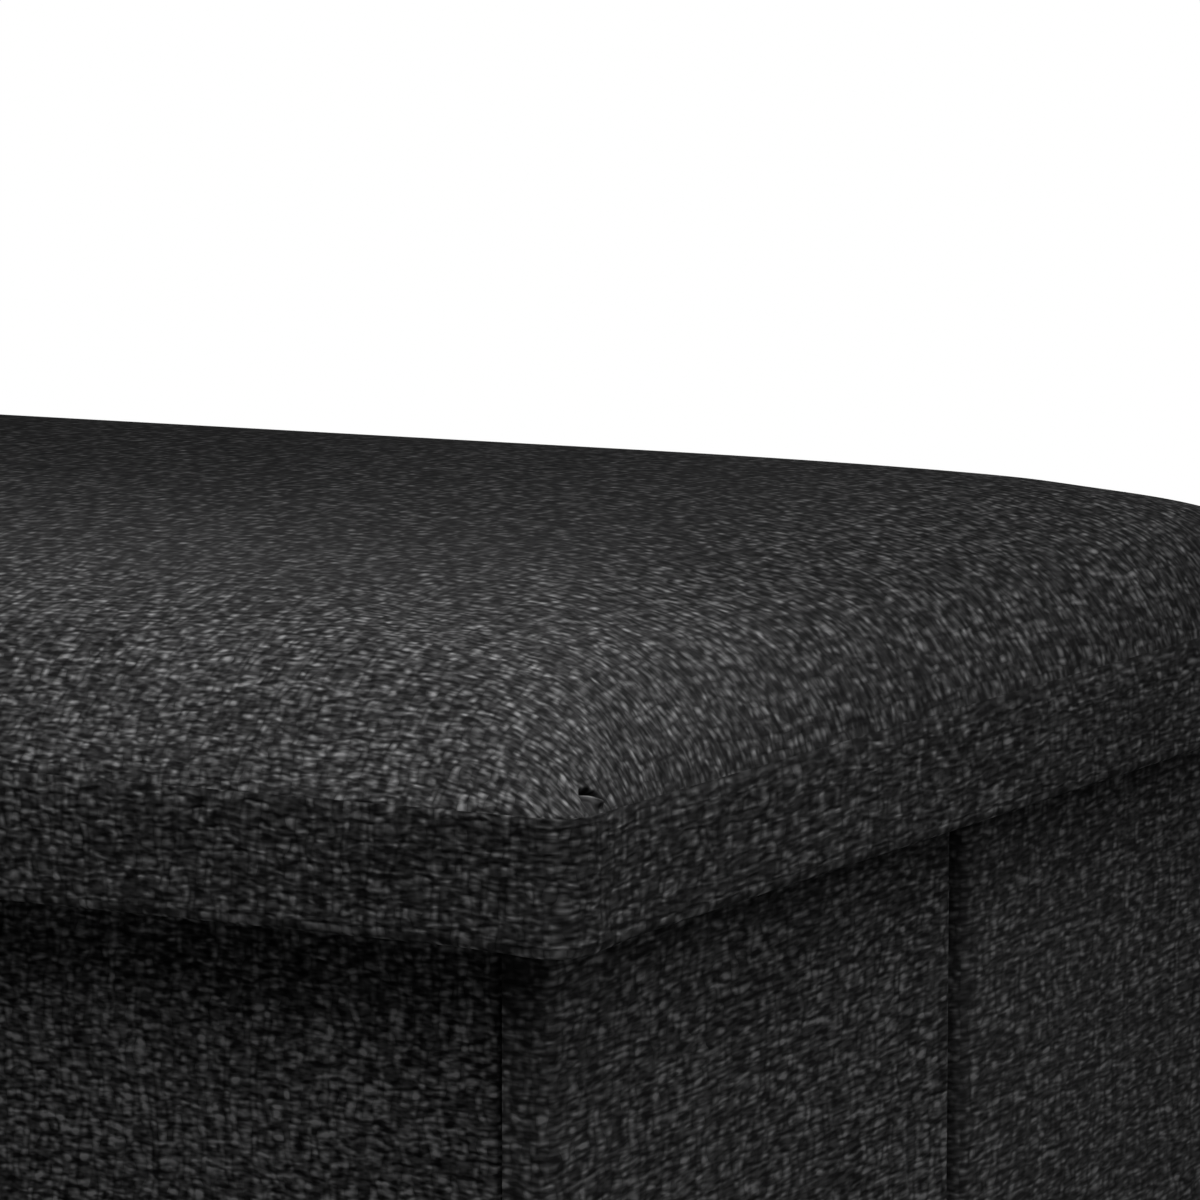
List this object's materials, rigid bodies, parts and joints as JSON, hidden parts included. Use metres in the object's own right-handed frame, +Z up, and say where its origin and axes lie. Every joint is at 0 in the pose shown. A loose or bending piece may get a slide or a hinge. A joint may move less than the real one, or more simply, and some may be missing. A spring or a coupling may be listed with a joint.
{
  "type": "folding storage ottoman bench",
  "caption": "Long upholstered ottoman bench with a padded lift-off lid and a cloth-covered storage box whose end walls crease inwards so the box folds flat.",
  "frame": {"origin": "on the floor, under the middle of the bench", "axes": "+X along the bench to its right end, -Y out of its front, +Z up"},
  "size_m": [0.76, 0.38, 0.38],
  "materials": {
    "linen": "matte",
    "lining": "matte",
    "tape": "matte",
    "fibreboard": "matte",
    "foam": "matte",
    "glide": "satin",
    "steel": "satin"
  },
  "bodies": {
    "base": {"base_board": "fibreboard", "base_lining": "lining", "base_dust_cover": "lining", "base_hinge_tape": "tape", "foot_nails": "steel", "front_left_foot": "glide", "front_right_foot": "glide", "back_left_foot": "glide", "back_right_foot": "glide", "back_board": "fibreboard", "back_cover": "linen", "back_lining": "lining", "right_rear_hinge_tape": "tape", "left_rear_hinge_tape": "tape"},
    "right_rear": {"right_rear_board": "fibreboard", "right_rear_cover": "linen", "right_rear_lining": "lining", "right_crease_web": "linen"},
    "right_front": {"right_front_board": "fibreboard", "right_front_cover": "linen", "right_front_lining": "lining", "right_front_hinge_tape": "tape"},
    "front": {"front_board": "fibreboard", "front_cover": "linen", "front_lining": "lining"},
    "left_rear": {"left_rear_board": "fibreboard", "left_rear_cover": "linen", "left_rear_lining": "lining", "left_crease_web": "linen"},
    "left_front": {"left_front_board": "fibreboard", "left_front_cover": "linen", "left_front_lining": "lining", "left_front_hinge_tape": "tape"},
    "lid": {"lid_board": "fibreboard", "lid_foam": "foam", "lid_cover": "linen", "lid_lining": "lining", "lid_staples": "steel", "lid_brads": "steel", "lid_rail_front": "fibreboard", "lid_rail_back": "fibreboard", "lid_rail_left": "fibreboard", "lid_rail_right": "fibreboard", "lid_corner_front_left": "fibreboard", "lid_corner_front_right": "fibreboard", "lid_corner_back_left": "fibreboard", "lid_corner_back_right": "fibreboard"}
  },
  "joints": [
    {"name": "lid_lift", "type": "slide", "parent": "base", "child": "lid", "axis": [0, 0, 1], "range_m": [0, 0.4]},
    {"name": "right_rear_fold", "type": "hinge", "parent": "base", "child": "right_rear", "pos_m": [0.358, 0.168, 0.17], "axis": [0, 0, 1], "range_deg": [-87, 0], "deforming": ["right_rear_hinge_tape"]},
    {"name": "right_mid_fold", "type": "hinge", "parent": "right_rear", "child": "right_front", "pos_m": [0.368, 0, 0.17], "axis": [0, 0, -1], "range_deg": [-174, 0], "deforming": ["right_crease_web"]},
    {"name": "front_corner_fold", "type": "hinge", "parent": "right_front", "child": "front", "pos_m": [0.358, -0.168, 0.17], "axis": [0, 0, 1], "range_deg": [-87, 0], "deforming": ["right_front_hinge_tape"]},
    {"name": "left_rear_fold", "type": "hinge", "parent": "base", "child": "left_rear", "pos_m": [-0.358, 0.168, 0.17], "axis": [0, 0, -1], "range_deg": [-87, 0], "deforming": ["left_rear_hinge_tape"]},
    {"name": "left_mid_fold", "type": "hinge", "parent": "left_rear", "child": "left_front", "pos_m": [-0.368, 0, 0.17], "axis": [0, 0, 1], "range_deg": [-174, 0], "deforming": ["left_crease_web", "left_front_hinge_tape"]}
  ],
  "couplings": [
    {"joint": "right_mid_fold", "follows": "right_rear_fold", "ratio": 2},
    {"joint": "front_corner_fold", "follows": "right_rear_fold", "ratio": 1},
    {"joint": "left_rear_fold", "follows": "right_rear_fold", "ratio": 1},
    {"joint": "left_mid_fold", "follows": "right_rear_fold", "ratio": 2}
  ]
}
